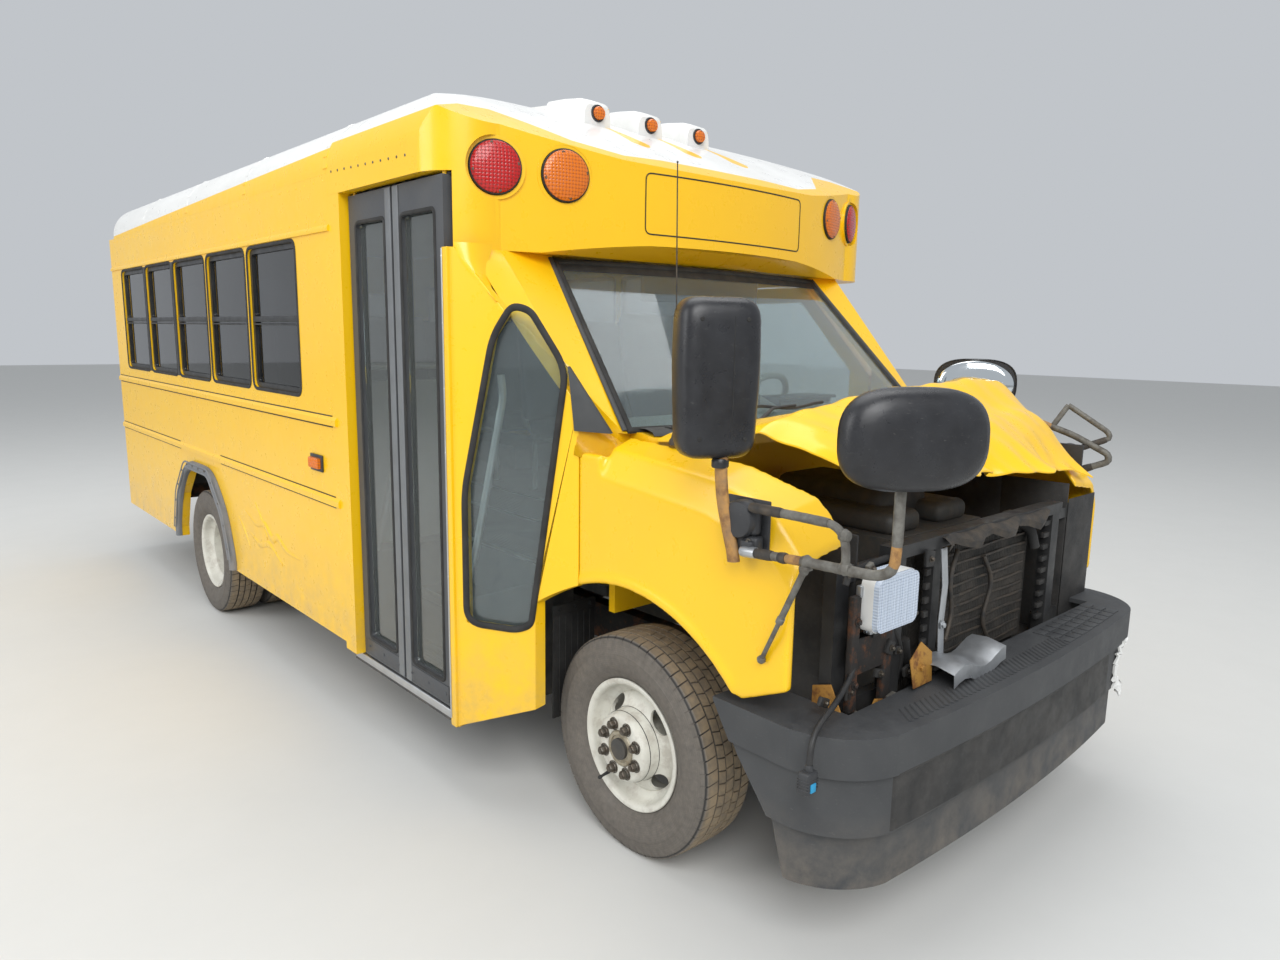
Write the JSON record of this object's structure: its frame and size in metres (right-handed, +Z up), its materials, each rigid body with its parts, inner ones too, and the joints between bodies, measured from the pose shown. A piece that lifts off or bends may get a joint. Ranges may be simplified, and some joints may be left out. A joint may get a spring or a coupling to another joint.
{
  "type": "short_school_bus",
  "caption": "A short yellow school bus on a cutaway van chassis with a crumpled nose, folding entrance doors, twin rear wheels and a white roof.",
  "frame": {"origin": "centre of the bounding box in plan, at the ground under the tyres", "axes": "+Y runs from the nose to the rear bumper, +X to the driver's side, +Z up"},
  "size_m": [2.516, 6.6984, 2.7],
  "materials": {
    "amber_lens": "smooth",
    "black_paint": "satin",
    "body_paint": "smooth",
    "bumper_plastic": "textured",
    "cast": "rough",
    "chassis_steel": "rough",
    "chrome_lamp": "smooth",
    "core_metal": "rough",
    "dark_frame": "satin",
    "dash_plastic": "smooth",
    "flare_rubber": "matte",
    "floor_mat": "ribbed",
    "mirror_plastic": "smooth",
    "red_lens": "smooth",
    "sash_metal": "satin",
    "seat_cloth": "woven",
    "stop_red": "smooth",
    "tyre_rubber": "matte",
    "wheel_paint": "satin",
    "white_paint": "smooth",
    "window_glass": "tinted",
    "wire_cover": "ribbed"
  },
  "bodies": {
    "body": {"body_glass": "window_glass", "cab_panel_right": "body_paint", "cab_side_left": "body_paint", "dashboard": "dash_plastic", "exhaust": "chassis_steel", "fenders": "body_paint", "flares": "flare_rubber", "floor": "floor_mat", "frame_rails": "chassis_steel", "front_bumper": "bumper_plastic", "front_cap": "body_paint", "front_suspension": "chassis_steel", "fuel_tank": "chassis_steel", "headlamp_right": "chrome_lamp", "hood": "body_paint", "lamp_wiring": "wire_cover", "lamps_amber": "amber_lens", "lamps_red": "red_lens", "mirrors": "mirror_plastic", "powertrain": "cast", "radiator": "core_metal", "radiator_support": "black_paint", "rear_axle": "cast", "rear_bumper": "black_paint", "rear_wall": "body_paint", "roof": "white_paint", "seats": "seat_cloth", "side_sashes": "sash_metal", "side_wall_left": "body_paint", "side_wall_right": "body_paint", "windshield_frame": "body_paint", "wiring_plugs": "wire_cover"},
    "knuckle_left": {"knuckle_left": "cast"},
    "knuckle_right": {"knuckle_right": "cast"},
    "wheel_front_left": {"tyre_front_left": "tyre_rubber", "rim_front_left": "wheel_paint"},
    "wheel_front_right": {"tyre_front_right": "tyre_rubber", "rim_front_right": "wheel_paint"},
    "wheels_rear_left": {"tyres_rear_left": "tyre_rubber", "rims_rear_left": "wheel_paint"},
    "wheels_rear_right": {"tyres_rear_right": "tyre_rubber", "rims_rear_right": "wheel_paint"},
    "entrance_leaf_front": {"entrance_leaf_front": "dark_frame", "entrance_glass_front": "window_glass"},
    "entrance_leaf_rear": {"entrance_leaf_rear": "dark_frame", "entrance_glass_rear": "window_glass"},
    "driver_door": {"driver_door": "body_paint", "driver_door_glass": "window_glass"},
    "emergency_door": {"emergency_door": "body_paint", "emergency_glass": "window_glass"},
    "stop_arm": {"stop_arm": "stop_red"}
  },
  "joints": [
    {"name": "steer_left", "type": "hinge", "parent": "body", "child": "knuckle_left", "pos_m": [0.73, -2.19, 0.372], "axis": [0, 0, 1], "range_deg": [-30, 30]},
    {"name": "steer_right", "type": "hinge", "parent": "body", "child": "knuckle_right", "pos_m": [-0.73, -2.19, 0.372], "axis": [0, 0, 1], "range_deg": [-30, 30]},
    {"name": "roll_front_left", "type": "hinge", "parent": "knuckle_left", "child": "wheel_front_left", "pos_m": [0.822, -2.19, 0.372], "axis": [1, 0, 0], "continuous": true},
    {"name": "roll_front_right", "type": "hinge", "parent": "knuckle_right", "child": "wheel_front_right", "pos_m": [-0.822, -2.19, 0.372], "axis": [1, 0, 0], "continuous": true},
    {"name": "roll_rear_left", "type": "hinge", "parent": "body", "child": "wheels_rear_left", "pos_m": [0.968, 1.341, 0.372], "axis": [1, 0, 0], "continuous": true},
    {"name": "roll_rear_right", "type": "hinge", "parent": "body", "child": "wheels_rear_right", "pos_m": [-0.968, 1.341, 0.372], "axis": [1, 0, 0], "continuous": true},
    {"name": "entrance_rear_hinge", "type": "hinge", "parent": "body", "child": "entrance_leaf_rear", "pos_m": [-1.166, -0.812, 1.3], "axis": [0, 0, 1], "range_deg": [-90, 0]},
    {"name": "entrance_front_hinge", "type": "hinge", "parent": "body", "child": "entrance_leaf_front", "pos_m": [-1.166, -1.511, 1.3], "axis": [0, 0, 1], "range_deg": [0, 90]},
    {"name": "driver_door_hinge", "type": "hinge", "parent": "body", "child": "driver_door", "pos_m": [0.971, -1.809, 0.95], "axis": [0, 0, 1], "range_deg": [-65, 0]},
    {"name": "emergency_door_hinge", "type": "hinge", "parent": "body", "child": "emergency_door", "pos_m": [-0.4165, 3.273, 1.5], "axis": [0, 0, 1], "range_deg": [0, 100]},
    {"name": "stop_arm_hinge", "type": "hinge", "parent": "body", "child": "stop_arm", "pos_m": [1.25, -0.2, 1.18], "axis": [0, 0, 1], "range_deg": [-90, 0]}
  ],
  "couplings": [
    {"joint": "steer_right", "follows": "steer_left", "ratio": 1},
    {"joint": "entrance_front_hinge", "follows": "entrance_rear_hinge", "ratio": -1}
  ]
}
